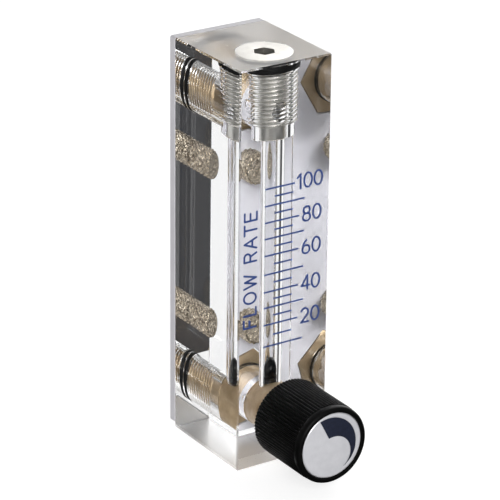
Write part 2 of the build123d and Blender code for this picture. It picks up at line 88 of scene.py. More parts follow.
body_low, body_high = span("valve_body")
seat_low, seat_high = span("valve_seat")
SEAT_R = (seat_high.x - seat_low.x) / 2
knob_low, knob_high = span("knob")
KNOB_R = (knob_high.x - knob_low.x) / 2
bush_low, bush_high = span("knob_bushing")
BUSH_R = (bush_high.x - bush_low.x) / 2
cap_low, cap_high = span("knob_cap")
CAP_R = (cap_high.x - cap_low.x) / 2
screw_low, screw_high = span("knob_set_screw")

# --- shapes that the frame's boxes don't give ---------------------------------------
THREAD_R, THREAD_DEPTH, THREAD_PITCH = 6.30, 0.52, 1.058
THREAD_GAP = 0.07                 # air between a metal thread and the acrylic's
PLUG_THREAD_LOW_Z = 85.4
PILOT_R = 5.6
NOSE_PLAIN = 3.2                  # unthreaded nose of the inlet adapter
TUBE_HIGH_R, TUBE_TOP_Z = 3.12, 82.0
VALVE_BORE_R, BODY_NECK_R, PORT_NECK_R = 6.2, 5.2, 5.2
BODY_L, SLEEVE_BORE_R = 6.4, 4.2  # the valve body's solid part, and the sleeve behind it
FLOW_HOLE_R, STEM_GROOVE_R = 2.7, 1.73
RING_BITE = 0.08                  # an O-ring presses this far into the wall round it
INSERT_TAP_R, INSERT_TAP_DEPTH = 2.05, 7.6
KNURL_DEPTH, INSERT_TAPER = 0.36, 0.6
INSERT_CORE_R = INSERT_R - KNURL_DEPTH - 0.7    # moulded in: acrylic fills the knurl down to here
SLEEVE_BITE = 0.08                # the valve body is bonded into its bore
PIPE_R, PIPE_DEPTH, PIPE_PITCH, PASSAGE_R = 4.35, 9.0, 0.94, 1.9
HEX_AF = 17.46
HEAD_GAP = 0.06                   # air between a hexagonal head and the block
HEX_TURNS = {"outlet": 0, "inlet": 15}
SOCKET_AF, SOCKET_DEPTH = 4.76, 4.6
PLUG_BORE_R, PLUG_BORE_TOP_Z, PLUG_CROSS_R = 3.4, 93.0, 2.4
SHANK_GAP = 0.05                  # air round the plain parts of plug, adapters and valve
RING_GAP = 0.03                   # a gland is this much longer than its O-ring
SEAM = 0.02                       # two turned steps overlap by this, so that they join
FINE = 224                        # steps round a polished bore
COARSE = 64                       # steps round a small or hidden turned piece

UP = Matrix.Translation((0, TUBE_Y, 0))


def back(height):
    """Local Z along +Y, on a level axis at this height."""
    return Matrix.Translation((0, 0, height)) @ Matrix.Rotation(radians(-90), 4, "X")


# --- mesh tools -----------------------------------------------------------------------
def new_object(name, build):
    """An object whose mesh is what was built, in millimetres, with outward normals."""
    bmesh.ops.recalc_face_normals(build, faces=build.faces)
    mesh = bpy.data.meshes.new(name)
    build.to_mesh(mesh)
    build.free()
    made = bpy.data.objects.new(name, mesh)
    bpy.context.scene.collection.objects.link(made)
    return made


def surface(rings, close_rows=False):
    """A closed surface through rings of points that all have the same number of points."""
    build = bmesh.new()
    rows = [[build.verts.new(point) for point in ring] for ring in rings]
    count = len(rows[0])
    pairs = list(zip(rows, rows[1:]))
    if close_rows:
        pairs.append((rows[-1], rows[0]))
    for lower, upper in pairs:
        for step in range(count):
            after = (step + 1) % count
            build.faces.new((lower[step], lower[after], upper[after], upper[step]))
    if not close_rows:
        for row, height in ((rows[0], rings[0]), (rows[-1], rings[-1])):
            middle = sum((Vector(point) for point in height), Vector()) / count
            pole = build.verts.new(middle)
            for step in range(count):
                build.faces.new((row[step], row[(step + 1) % count], pole))
    return build


def circle(radius, height, steps):
    return [(radius * cos(turn * tau / steps), radius * sin(turn * tau / steps), height)
            for turn in range(steps)]


def eased(outline, size, closed, steps=3):
    """The outline with each inner corner replaced by a small arc."""
    points = [Vector(point) for point in outline]
    count, result = len(points), []
    for index, corner in enumerate(points):
        if not closed and index in (0, count - 1):
            result.append(corner)
            continue
        before, after = points[index - 1], points[(index + 1) % count]
        reach = min(size, 0.45 * (before - corner).length, 0.45 * (after - corner).length)
        start = corner + (before - corner).normalized() * reach
        end = corner + (after - corner).normalized() * reach
        for step in range(steps + 1):
            share = step / steps
            bend = start.lerp(corner, share).lerp(corner.lerp(end, share), share)
            result.append(bend)
    return result


def turned(name, outline, place, steps=COARSE, ease=0.0):
    """A lathe-turned piece from (radius, position) points. An outline that starts and ends
    on the axis makes a solid, and any other is a closed section that makes a ring."""
    closed = outline[0][0] > 0
    points = eased(outline, ease, closed) if ease else [Vector(point) for point in outline]
    if not closed:
        points = points[1:-1]
    build = surface([circle(p[0], p[1], steps) for p in points], close_rows=closed)
    build.transform(place)
    return new_object(name, build)


def thread(name, low, high, crest, root, place, pitch=THREAD_PITCH, steps=96):
    """A rod with a helical V thread, its ends cut square."""
    profile = ((0.0, root), (0.12, root), (0.44, crest), (0.68, crest))
    size, turns = len(profile), int((high - low) / pitch) + 4
    rows = size * turns
    build = bmesh.new()

    def point(row, step):
        share, radius = profile[row % size]
        rise = low - 1.5 * pitch + (row // size + share + step / steps) * pitch
        return (radius * cos(step * tau / steps), radius * sin(step * tau / steps), rise)

    grid = [[build.verts.new(point(row, step)) for step in range(steps)] for row in range(rows)]
    for row in range(rows - 1):
        for step in range(steps - 1):
            build.faces.new((grid[row][step], grid[row][step + 1],
                             grid[row + 1][step + 1], grid[row + 1][step]))
    for row in range(rows - 1 - size):
        build.faces.new((grid[row][-1], grid[row + size][0],
                         grid[row + size + 1][0], grid[row + 1][-1]))
    start = grid[0] + [grid[row][0] for row in range(size, 0, -1)]
    end = grid[-1] + [grid[rows - 1 - row][-1] for row in range(1, size + 1)]
    for rim, beyond in ((start, -3 * pitch), (end, 3 * pitch)):
        tip = build.verts.new((0, 0, sum(v.co.z for v in rim) / len(rim) + beyond))
        for one, other in zip(rim, rim[1:] + rim[:1]):
            build.faces.new((one, other, tip))
    build.transform(place)
    rod = new_object(name, build)
    sleeve = turned(name + "_ends", [(0, low), (2 * crest, low), (2 * crest, high), (0, high)], place)
    return combine(rod, sleeve, "INTERSECT")


def combine(target, tool, operation="DIFFERENCE"):
    """One solid from two by a boolean, which uses the tool up."""
    modifier = target.modifiers.new("combine", "BOOLEAN")
    modifier.operation = operation
    modifier.object = tool
    modifier.solver = "MANIFOLD"
    depsgraph = bpy.context.evaluated_depsgraph_get()
    result = bpy.data.meshes.new_from_object(target.evaluated_get(depsgraph))
    target.modifiers.clear()
    spent = target.data
    target.data = result
    bpy.data.meshes.remove(spent)
    bpy.data.objects.remove(tool)
    return target


def bored(target, place, *steps, sides=FINE):
    """Takes plain round holes out of a solid: each is (radius, from, to) along the axis."""
    for radius, low, high in steps:
        tool = turned("tool", [(0, low), (radius, low), (radius, high), (0, high)], place, sides)
        combine(target, tool)
    return target


def prism(name, across_flats, low, high, place, turn=0.0):
    """A hexagonal bar with two flats facing up and down."""
    corner = across_flats / 2 / cos(pi / 6)
    rings = [[(corner * cos(side * pi / 3 + turn), corner * sin(side * pi / 3 + turn), at)
              for side in range(6)] for at in (low, high)]
    build = surface(rings)
    build.transform(place)
    return new_object(name, build)


def finish(piece, paint, body, slot, *replaced, angle=32):
    """Scales a piece to metres, smooths its round surfaces, paints it and fixes it to a body."""
    build = bmesh.new()
    build.from_mesh(piece.data)
    bmesh.ops.remove_doubles(build, verts=build.verts, dist=1e-5)
    bmesh.ops.scale(build, vec=(MM, MM, MM), verts=build.verts)
    build.to_mesh(piece.data)
    build.free()
    piece.data.materials.clear()
    piece.data.materials.append(paint)
    piece.data.polygons.foreach_set("use_smooth", [True] * len(piece.data.polygons))
    piece.data.set_sharp_from_angle(angle=radians(angle))
    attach(piece, body)
    if replaced:
        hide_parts(*replaced)
    return piece


# --- materials --------------------------------------------------------------------------
class Paint:
    """A Principled material built up from a few procedural layers, in object coordinates."""

    def __init__(self, name, **sockets):
        self.material = bpy.data.materials.new(name)
        self.material.use_nodes = True
        self.tree = self.material.node_tree
        self.shader = self.tree.nodes["Principled BSDF"]
        self.output = self.tree.nodes["Material Output"]
        self.place = self.node("ShaderNodeTexCoord").outputs["Object"]
        self.height = None
        for key, value in sockets.items():
            self.shader.inputs[key.replace("_", " ")].default_value = value

    def node(self, kind, **settings):
        made = self.tree.nodes.new(kind)
        for key, value in settings.items():
            setattr(made, key, value)
        return made

    def link(self, source, target):
        self.tree.links.new(source, target)

    def noise(self, scale, detail=3.0, roughness=0.55, stretch=None):
        """Noise with this many features per metre, perhaps stretched along an axis."""
        texture = self.node("ShaderNodeTexNoise")
        texture.inputs["Scale"].default_value = scale
        texture.inputs["Detail"].default_value = detail
        texture.inputs["Roughness"].default_value = roughness
        source = self.place
        if stretch:
            mapping = self.node("ShaderNodeMapping")
            mapping.inputs["Scale"].default_value = stretch
            self.link(self.place, mapping.inputs["Vector"])
            source = mapping.outputs["Vector"]
        self.link(source, texture.inputs["Vector"])
        return texture.outputs["Fac"]

    def rings(self, centre, axis, scale, distortion=0.4):
        """Fine turning marks: circles round an axis through a centre, in metres."""
        mapping = self.node("ShaderNodeMapping")
        mapping.inputs["Location"].default_value = [-value for value in centre]
        self.link(self.place, mapping.inputs["Vector"])
        texture = self.node("ShaderNodeTexWave", wave_type="RINGS", rings_direction=axis)
        texture.inputs["Scale"].default_value = scale
        texture.inputs["Distortion"].default_value = distortion
        texture.inputs["Detail"].default_value = 1.0
        self.link(mapping.outputs["Vector"], texture.inputs["Vector"])
        return texture.outputs["Fac"]

    def ramp(self, source, low, high):
        """The source as a colour or value between two others."""
        mix = self.node("ShaderNodeValToRGB")
        for stop, value in zip(mix.color_ramp.elements, (low, high)):
            stop.color = value if hasattr(value, "__len__") else (value, value, value, 1)
        mix.color_ramp.elements[0].position = 0.3
        mix.color_ramp.elements[1].position = 0.7
        self.link(source, mix.inputs["Fac"])
        return mix.outputs["Color"]

    def colour(self, source, low, high):
        self.link(self.ramp(source, (*low, 1), (*high, 1)), self.shader.inputs["Base Color"])
        return self

    def rough(self, source, low, high):
        self.link(self.ramp(source, low, high), self.shader.inputs["Roughness"])
        return self

    def bump(self, source, depth):
        """Raises the surface by up to a depth in metres, on top of any earlier bump."""
        bump = self.node("ShaderNodeBump")
        bump.inputs["Distance"].default_value = depth
        self.link(source, bump.inputs["Height"])
        if self.height:
            self.link(self.height, bump.inputs["Normal"])
        self.height = bump.outputs["Normal"]
        self.link(self.height, self.shader.inputs["Normal"])
        return self


def clear_acrylic(name, colour, roughness):
    """Acrylic that bends what is seen through it and lets lamps in."""
    paint = Paint(name, Base_Color=(*colour, 1), Roughness=roughness, IOR=1.49,
                  Transmission_Weight=1.0)
    path = paint.node("ShaderNodeLightPath")
    open_way = paint.node("ShaderNodeBsdfTransparent")
    open_way.inputs["Color"].default_value = (0.93, 0.935, 0.94, 1)
    mix = paint.node("ShaderNodeMixShader")
    paint.link(path.outputs["Is Shadow Ray"], mix.inputs[0])
    paint.link(paint.shader.outputs[0], mix.inputs[1])
    paint.link(open_way.outputs[0], mix.inputs[2])
    paint.link(mix.outputs[0], paint.output.inputs["Surface"])
    return paint.material


def backing():
    paint = Paint("backing_sheet", Roughness=0.4)
    paint.colour(paint.noise(180), (0.53, 0.52, 0.55), (0.58, 0.57, 0.60))
    paint.rough(paint.noise(900), 0.34, 0.46)
    return paint.bump(paint.noise(2500), 2e-5).material


def metal(name, dark, light, rough_low, rough_high, centre, axis, metallic=1.0):
    """Turned metal: slight stains, fine tool marks round an axis, and a grain."""
    paint = Paint(name, Metallic=metallic)
    paint.colour(paint.noise(260, detail=5), dark, light)
    paint.rough(paint.noise(700), rough_low, rough_high)
    paint.bump(paint.rings(centre, axis, 900), 1.2e-5)
    return paint.bump(paint.noise(4000), 6e-6).material


def knurled_brass_painted_glints():
    """Brass whose cut facets catch the light unevenly through the resin round them; its colour noise,
    from near black to near white, adds painted glints and painted shade on top.
    """
    paint = Paint("brass_knurled_painted_glints", Metallic=0.85)
    # Painted glints and painted shade: the colour runs from near black to near white brass.
    paint.colour(paint.noise(1300, detail=2), (0.13, 0.09, 0.05), (0.98, 0.88, 0.72))
    paint.rough(paint.noise(900), 0.10, 0.22)
    return paint.bump(paint.noise(1700, detail=2), 2.5e-4).material


def rubber():
    paint = Paint("black_rubber", Specular_IOR_Level=0.12)
    paint.colour(paint.noise(900), (0.002, 0.002, 0.002), (0.005, 0.005, 0.005))
    paint.rough(paint.noise(1500), 0.42, 0.62)
    return paint.bump(paint.noise(5000), 1.5e-5).material


def ptfe():
    paint = Paint("white_ptfe", Subsurface_Weight=0.3, Subsurface_Scale=0.001)
    paint.colour(paint.noise(400), (0.78, 0.78, 0.76), (0.85, 0.85, 0.83))
    paint.rough(paint.noise(900), 0.4, 0.55)
    return paint.bump(paint.noise(3000), 1e-5).material


def ball_black():
    paint = Paint("black_ball", Specular_IOR_Level=0.2)
    paint.colour(paint.noise(700), (0.0006, 0.0008, 0.0008), (0.0014, 0.0016, 0.0016))
    paint.rough(paint.noise(1200), 0.06, 0.12)
    return paint.material


def moulded_black():
    paint = Paint("black_plastic", Specular_IOR_Level=0.09)
    paint.colour(paint.noise(350), (0.0012, 0.0012, 0.0012), (0.0025, 0.0025, 0.0025))
    paint.rough(paint.noise(1100), 0.34, 0.46)
    return paint.bump(paint.noise(6000, detail=2), 1.6e-5).material


def cap_silver():
    paint = Paint("silver_cap", Metallic=0.3, Coat_Weight=1.0, Coat_Roughness=0.06)
    paint.colour(paint.noise(500), (0.64, 0.64, 0.67), (0.70, 0.70, 0.73))
    paint.rough(paint.noise(1400), 0.30, 0.38)
    return paint.bump(paint.rings((0, 0, PORT_Z * MM), "Y", 1500), 4e-6).material


def ink(name, thin, full):
    """Screen-printed ink, a little uneven."""
    paint = Paint(name, Specular_IOR_Level=0.4)
    paint.colour(paint.noise(1300, detail=4), thin, full)
    paint.rough(paint.noise(2200), 0.4, 0.6)
    return paint.bump(paint.noise(6000), 6e-6).material


TUBE_CENTRE = (0, TUBE_Y * MM, 0)
VALVE_CENTRE = (0, 0, PORT_Z * MM)
ACRYLIC = clear_acrylic("clear_acrylic", (0.97, 0.975, 0.98), 0.0)
SATIN_ACRYLIC = clear_acrylic("satin_acrylic", (0.83, 0.83, 0.825), 0.45)
BACKING = backing()
PLUG_METAL = metal("plug_metal", (0.56, 0.545, 0.51), (0.66, 0.645, 0.61), 0.32, 0.46,
                   TUBE_CENTRE, "Z")
# Near-black metal for the walls and floor of the key socket: painted shade that darkens the recess.
SOCKET_PAINTED_SHADE = metal("socket_painted_shade", (0.05, 0.05, 0.05), (0.10, 0.10, 0.09), 0.45, 0.60,
                     TUBE_CENTRE, "Z")
KNURLED_BRASS_PAINTED_GLINTS = knurled_brass_painted_glints()
BRASS = metal("brass", (0.34, 0.245, 0.14), (0.50, 0.38, 0.24), 0.32, 0.46, VALVE_CENTRE, "Y", 0.8)
STEEL = metal("stainless", (0.50, 0.50, 0.50), (0.62, 0.62, 0.61), 0.20, 0.34, VALVE_CENTRE, "Y")
RUBBER = rubber()
PTFE = ptfe()
BALL = ball_black()
PLASTIC = moulded_black()
SILVER = cap_silver()
BLUE_INK = ink("blue_ink", (0.020, 0.055, 0.22), (0.010, 0.030, 0.14))
NAVY_INK = ink("navy_ink", (0.010, 0.014, 0.035), (0.006, 0.009, 0.022))


# --- block and backing plate ----------------------------------------------------------
EDGE_BREAK = 0.35
RING_ROOM_LOW_Z = plug_ring_low.z - RING_GAP


def make_block():
    """The block, with every hole that the real one has drilled, tapped or reamed in it."""
    build = bmesh.new()
    bmesh.ops.create_cube(build, size=1.0)
    middle = (block_low + block_high) / 2
    build.transform(Matrix.Translation(middle) @ Matrix.Diagonal((WIDTH, DEPTH, HEIGHT, 1)))
    bmesh.ops.bevel(build, geom=build.edges, offset=EDGE_BREAK, segments=1, profile=0.5,
                    affect="EDGES")
    block = new_object("clear_block", build)
    beyond = HEIGHT + 1
    # From above: counterbore, tapped hole, pilot and the slowly widening float bore.
    bored(block, UP, (HEAD_R + SHANK_GAP, RING_ROOM_LOW_Z, beyond),
          (PILOT_R + SHANK_GAP, TUBE_TOP_Z, PLUG_THREAD_LOW_Z + 1))
    combine(block, thread("tap", PLUG_THREAD_LOW_Z, RING_ROOM_LOW_Z + 0.5, THREAD_R + THREAD_GAP,
                          THREAD_R - THREAD_DEPTH + THREAD_GAP, UP))
    combine(block, turned("reamer", [(0, PORT_Z), (TUBE_LOW_R, PORT_Z),
                                     (TUBE_HIGH_R, TUBE_TOP_Z + 0.5), (0, TUBE_TOP_Z + 0.5)],
                          UP, FINE))
    # From the back: each port, with a counterbore for its O-ring.
    for height, start, end in ((OUTLET_Z, outlet_low.y, TUBE_Y), (PORT_Z, inlet_low.y + NOSE_PLAIN,
                                                                   inlet_low.y - 0.1)):
        bored(block, back(height), (PORT_GLAND_R, port_ring_low.y - RING_GAP, BACK_Y + 1),
              (THREAD_R + SHANK_GAP, end, start + 0.3))
        combine(block, thread("tap", start, port_ring_low.y + 0.5, THREAD_R + THREAD_GAP,
                              THREAD_R - THREAD_DEPTH + THREAD_GAP, back(height)))
    # From the front: the valve bore. Then the blind holes of the inserts.
    bored(block, back(PORT_Z), (VALVE_BORE_R - SHANK_GAP - SLEEVE_BITE, FRONT_Y - 1, inlet_low.y + 0.1))
    for name in INSERTS:
        low, high = span(name)
        bored(block, back((low.z + high.z) / 2), (INSERT_CORE_R, low.y + 0.05, BACK_Y + 1))
    finish(block, ACRYLIC, "meter", "clear_acrylic", "acrylic_block")
    block.data.materials.append(SATIN_ACRYLIC)
    for face in block.data.polygons:
        from_end = min(face.center.z / MM, HEIGHT - face.center.z / MM)
        if abs(face.normal.z) > 0.9 and from_end < 0.1:
            face.material_index = 1


make_block()


# --- seals ------------------------------------------------------------------------------
def seal(name, axis_place, inner, outer, low, high, body):
    """An O-ring squeezed flat where it touches the walls of its gland."""
    middle_r, middle = (inner + outer) / 2, (low + high) / 2
    half_r, half = (outer - inner) / 2, (high - low) / 2
    section, steps = [], 28
    for step in range(steps):
        across, along = cos(step * tau / steps), sin(step * tau / steps)
        section.append((middle_r + half_r * copysign(sqrt(abs(across)), across),
                        middle + half * copysign(sqrt(abs(along)), along)))
    ring = turned(name + "_seal", section, axis_place, FINE)
    return finish(ring, RUBBER, body, "black_rubber", name, angle=60)


seal("top_plug_o_ring", UP, THREAD_R - THREAD_DEPTH, HEAD_R + SHANK_GAP + RING_BITE,
     plug_ring_low.z, plug_ring_high.z, "meter")
for port, height in (("outlet", OUTLET_Z), ("inlet", PORT_Z)):
    low, high = span(f"{port}_port_o_ring")
    seal(f"{port}_port_o_ring", back(height), PORT_NECK_R, PORT_GLAND_R + RING_BITE,
         low.y, high.y, "meter")
low, high = span("valve_body_o_ring")
seal("valve_body_o_ring", back(PORT_Z), BODY_NECK_R, VALVE_BORE_R + RING_BITE,
     low.y, high.y, "meter")
low, high = span("stem_o_ring")
seal("stem_o_ring", back(PORT_Z), STEM_GROOVE_R, (high.x - low.x) / 2, low.y, high.y, "stem_carrier")


# --- top plug ---------------------------------------------------------------------------
def make_plug():
    root = THREAD_R - THREAD_DEPTH
    plug = turned("threaded_top_plug",
                  [(0, PLUG_LOW_Z), (PILOT_R, PLUG_LOW_Z), (PILOT_R, PLUG_THREAD_LOW_Z),
                   (root - SEAM, PLUG_THREAD_LOW_Z), (root - SEAM, plug_ring_high.z + RING_GAP),
                   (HEAD_R, plug_ring_high.z + RING_GAP), (HEAD_R, HEIGHT), (0, HEIGHT)],
                  UP, FINE, ease=0.22)
    combine(plug, thread("plug_thread", PLUG_THREAD_LOW_Z + 0.05, RING_ROOM_LOW_Z, THREAD_R, root, UP),
            "UNION")
    combine(plug, prism("key_socket", SOCKET_AF, HEIGHT - SOCKET_DEPTH, HEIGHT + 1, UP))
    bored(plug, UP, (PLUG_BORE_R, PLUG_LOW_Z - 1, PLUG_BORE_TOP_Z), sides=COARSE)
    cross = back(OUTLET_Z) @ Matrix.Translation((0, 0, TUBE_Y))
    for turn in (0, 90):
        bored(plug, cross @ Matrix.Rotation(radians(turn), 4, "Y"), (PLUG_CROSS_R, -9, 9),
              sides=COARSE)
    finish(plug, PLUG_METAL, "meter", "plug_metal", "top_plug")
    # The faces inside the key socket take the painted shade material, which darkens the recess.
    plug.data.materials.append(SOCKET_PAINTED_SHADE)
    for face in plug.data.polygons:
        middle = face.center / MM
        reach = sqrt(middle.x ** 2 + (middle.y - TUBE_Y) ** 2)
        in_depth = HEIGHT - SOCKET_DEPTH - 0.2 < middle.z < HEIGHT - 0.3
        if in_depth and reach < SOCKET_AF * 0.6:
            face.material_index = 1


make_plug()

PIN_R = 0.5
pin_length = pin_high.x - pin_low.x
pin_z = (pin_low.z + pin_high.z) / 2
pin_place = Matrix.Translation((pin_low.x, TUBE_Y, pin_z)) @ Matrix.Rotation(radians(90), 4, "Y")
finish(turned("upper_stop_pin", [(0, 0), (PIN_R, 0), (PIN_R, pin_length), (0, pin_length)],
              pin_place, 32, ease=0.12), STEEL, "meter", "stainless", "upper_float_stop")


# --- port adapters ------------------------------------------------------------------------
def make_adapter(port, height, low):
    """A hexagonal head on a threaded shank, with a pipe thread in its mouth."""
    place = back(height)
    root = THREAD_R - THREAD_DEPTH
    corner = HEX_AF / 2 / cos(pi / 6)
    front = BACK_Y + HEAD_GAP
    head = prism(f"{port}_hex_adapter", HEX_AF, front, HEX_BACK_Y, place, radians(-HEX_TURNS[port]))
    combine(head, turned("turned_corners", [(0, front), (corner - 0.9, front), (corner, front + 0.5),
                                            (corner, HEX_BACK_Y - 0.5), (corner - 0.9, HEX_BACK_Y),
                                            (0, HEX_BACK_Y)], place, FINE), "INTERSECT")
    plain = NOSE_PLAIN if port == "inlet" else 0.0
    outline = [(0, low), (THREAD_R if plain else root, low)]
    if plain:
        outline += [(THREAD_R, low + plain), (root - SEAM, low + plain)]
    neck_y = port_ring_low.y - RING_GAP
    outline += [(root - SEAM, neck_y), (PORT_NECK_R, neck_y), (PORT_NECK_R, BACK_Y + 0.5),
                (0, BACK_Y + 0.5)]
    combine(head, turned("shank", outline, place, FINE, ease=0.15), "UNION")
    combine(head, thread("shank_thread", low + plain, neck_y, THREAD_R, root, place),
            "UNION")
    bored(head, place, (PASSAGE_R, low - 1, HEX_BACK_Y), sides=COARSE)
    combine(head, thread("pipe_tap", HEX_BACK_Y - PIPE_DEPTH, HEX_BACK_Y + 1, PIPE_R + 0.45, PIPE_R,
                         place, pitch=PIPE_PITCH, steps=64))
    combine(head, turned("mouth", [(0, HEX_BACK_Y - 0.7), (PIPE_R, HEX_BACK_Y - 0.7),
                                   (PIPE_R + 1.5, HEX_BACK_Y + 0.8), (0, HEX_BACK_Y + 0.8)],
                         place, FINE))
    if port == "inlet":
        bored(head, place, (SEAT_R + 0.02, low - 1, seat_high.y), sides=COARSE)
    return finish(head, BRASS, "meter", "brass", f"{port}_port_adapter")


make_adapter("outlet", OUTLET_Z, outlet_low.y)
make_adapter("inlet", PORT_Z, inlet_low.y)


# --- knurled inserts ----------------------------------------------------------------------
def wave(value):
    """A triangle wave from 0 to 1 and back, with a period of 1."""
    return 1 - abs(2 * (value % 1) - 1)


def make_insert(name):
    low, high = span(name)
    place = back((low.z + high.z) / 2)
    length, around, along = high.y - low.y, 192, 60
    diamonds, slant = 16, 0.64
    rings = [circle(INSERT_R - shrink, low.y, around) for shrink in (0.75, 0.55)]
    for row in range(along + 1):
        at = row * length / along
        near_end = min(at, length - at)
        ring = []
        for step in range(around):
            turn = step / around
            cut = max(wave(diamonds * turn + slant * at), wave(diamonds * turn - slant * at))
            radius = INSERT_R - KNURL_DEPTH * cut - max(0, INSERT_TAPER - near_end)
            ring.append((radius * cos(turn * tau), radius * sin(turn * tau), low.y + at))
        rings.append(ring)
    build = surface(rings)
    build.transform(place)
    insert = new_object(name + "_knurled", build)
    combine(insert, thread("insert_tap", high.y - INSERT_TAP_DEPTH, high.y + 1, INSERT_TAP_R + 0.25,
                           INSERT_TAP_R, place, pitch=0.7, steps=48))
    return finish(insert, KNURLED_BRASS_PAINTED_GLINTS, "meter", "brass", name, angle=14)


for name in INSERTS:
    make_insert(name)


# --- float ----------------------------------------------------------------------------------
def make_ball():
    build = bmesh.new()
    bmesh.ops.create_uvsphere(build, u_segments=96, v_segments=48, radius=BALL_R)
    build.transform(Matrix.Translation((0, TUBE_Y, BALL_Z)))
    return finish(new_object("black_float_ball", build), BALL, "float", "black_ball", "float_ball",
                  angle=80)


make_ball()
STOP_HOLE_R, STOP_CUP_R, CUP_FOOT_Z = 2.2, 2.62, 19.64
finish(turned("lower_stop_ring", [(STOP_HOLE_R, stop_low.z), (STOP_R, stop_low.z),
                                  (STOP_R, stop_high.z), (STOP_CUP_R, stop_high.z),
                                  (STOP_HOLE_R, CUP_FOOT_Z)], UP, FINE, ease=0.08),
       RUBBER, "meter", "black_rubber", "lower_float_stop")


# --- needle valve -----------------------------------------------------------------------------
def make_valve_body():
    """A flanged body with a sleeve behind it that lines the valve bore."""
    thread_r, land_r, bonnet_r, flange_r = 2.63, 2.95, 4.6, (body_high.x - body_low.x) / 2
    sleeve_r, end = VALVE_BORE_R - SHANK_GAP, body_high.y
    inner_y, flange_y, ring_y = FRONT_Y - 0.2, FRONT_Y - 1.8, FRONT_Y + 1.0
    outline = [(SLEEVE_BORE_R, end), (sleeve_r, end), (sleeve_r, ring_y), (BODY_NECK_R, ring_y),
               (BODY_NECK_R, FRONT_Y - 0.02), (flange_r, FRONT_Y - 0.02), (flange_r, flange_y),
               (bonnet_r, flange_y), (bonnet_r, body_low.y), (thread_r, body_low.y),
               (thread_r, inner_y), (land_r, inner_y), (land_r, FRONT_Y + BODY_L),
               (SLEEVE_BORE_R, FRONT_Y + BODY_L)]
    piece = turned("valve_housing", outline, back(PORT_Z), FINE, ease=0.12)
    bored(piece, UP, (FLOW_HOLE_R, PORT_Z, PORT_Z + VALVE_BORE_R))
    return finish(piece, BRASS, "meter", "brass", "valve_body")


make_valve_body()
SEAT_HOLE_R = 1.0
finish(turned("soft_seat", [(SEAT_HOLE_R, seat_low.y), (SEAT_R, seat_low.y),
                            (SEAT_R, seat_high.y), (SEAT_HOLE_R, seat_high.y)],
              back(PORT_Z), COARSE, ease=0.15),
       PTFE, "meter", "white_ptfe", "valve_seat")


# --- knob ---------------------------------------------------------------------------------------
RIBS, RIB_DEPTH, RIM_W, RIM_ROUND = 72, 0.35, 2.2, 0.9
screw_y = (screw_low.y + screw_high.y) / 2
SCREW_PLACE = Matrix.Translation((0, screw_y, PORT_Z)) @ Matrix.Rotation(radians(90), 4, "Y")
SCREW_R, SCREW_ROOT_R = 1.45, 1.2


def make_knob():
    """A ribbed barrel with a smooth rounded rim, a recess for the cap and one for the bushing."""
    around = RIBS * 8
    front, base = knob_low.y, knob_high.y
    recess_y = cap_high.y - 0.02
    bush_r = BUSH_R + 0.02
    rim_r = KNOB_R - 0.15
    rows = [(0.5, recess_y, 0), (CAP_R + 0.03, recess_y, 0), (CAP_R + 0.03, front + 0.3, 0),
            (CAP_R + 0.13, front + 0.08, 0), (CAP_R + 0.3, front, 0)]
    for step in range(7):
        turn = step / 6 * pi / 2
        rows.append((rim_r - RIM_ROUND * (1 - sin(turn)), front + RIM_ROUND * (1 - cos(turn)), 0))
    rib_start = front + RIM_W
    rows += [(rim_r, rib_start - 0.25, 0), (rim_r - 0.12, rib_start - 0.1, 0),
             (rim_r - 0.12, rib_start, 0), (KNOB_R - 0.05, rib_start + 0.12, 0.8),
             (KNOB_R, rib_start + 0.3, 1), (KNOB_R, base - 0.45, 1), (KNOB_R - 0.08, base - 0.2, 0.8),
             (KNOB_R - 0.42, base, 0), (5.0, base, 0), (5.0, base - 4.2, 0), (bush_r, base - 4.2, 0),
             (bush_r, bush_low.y - 0.2, 0), (0.5, bush_low.y - 0.2, 0)]
    rings = []
    for radius, at, share in rows:
        ring = []
        for step in range(around):
            turn = step * tau / around
            groove = share * RIB_DEPTH * (0.5 - 0.5 * cos(RIBS * turn)) ** 1.5
            ring.append(((radius - groove) * cos(turn), (radius - groove) * sin(turn), at))
        rings.append(ring)
    build = surface(rings)
    build.transform(back(PORT_Z))
    knob = new_object("ribbed_knob", build)
    bored(knob, SCREW_PLACE, (SCREW_R + 0.03, 2.0, KNOB_R + 1), sides=32)
    return finish(knob, PLASTIC, "knob_and_stem", "black_plastic", "knob", angle=40)


def make_bushing():
    low, high, bore_r = bush_low.y, bush_high.y, 2.02
    piece = turned("brass_bushing", [(bore_r, low), (BUSH_R, low), (BUSH_R, high), (bore_r, high)],
                   back(PORT_Z), COARSE, ease=0.2)
    bored(piece, SCREW_PLACE, (SCREW_R + 0.02, 0, KNOB_R), sides=32)
    return finish(piece, BRASS, "knob_and_stem", "brass", "knob_bushing")


def make_set_screw():
    piece = thread("grub_screw", screw_low.x, screw_high.x, SCREW_R, SCREW_ROOT_R, SCREW_PLACE,
                   pitch=0.5, steps=48)
    combine(piece, prism("grub_socket", 1.5, screw_high.x - 1.8, screw_high.x + 1, SCREW_PLACE))
    return finish(piece, STEEL, "knob_and_stem", "stainless", "knob_set_screw")


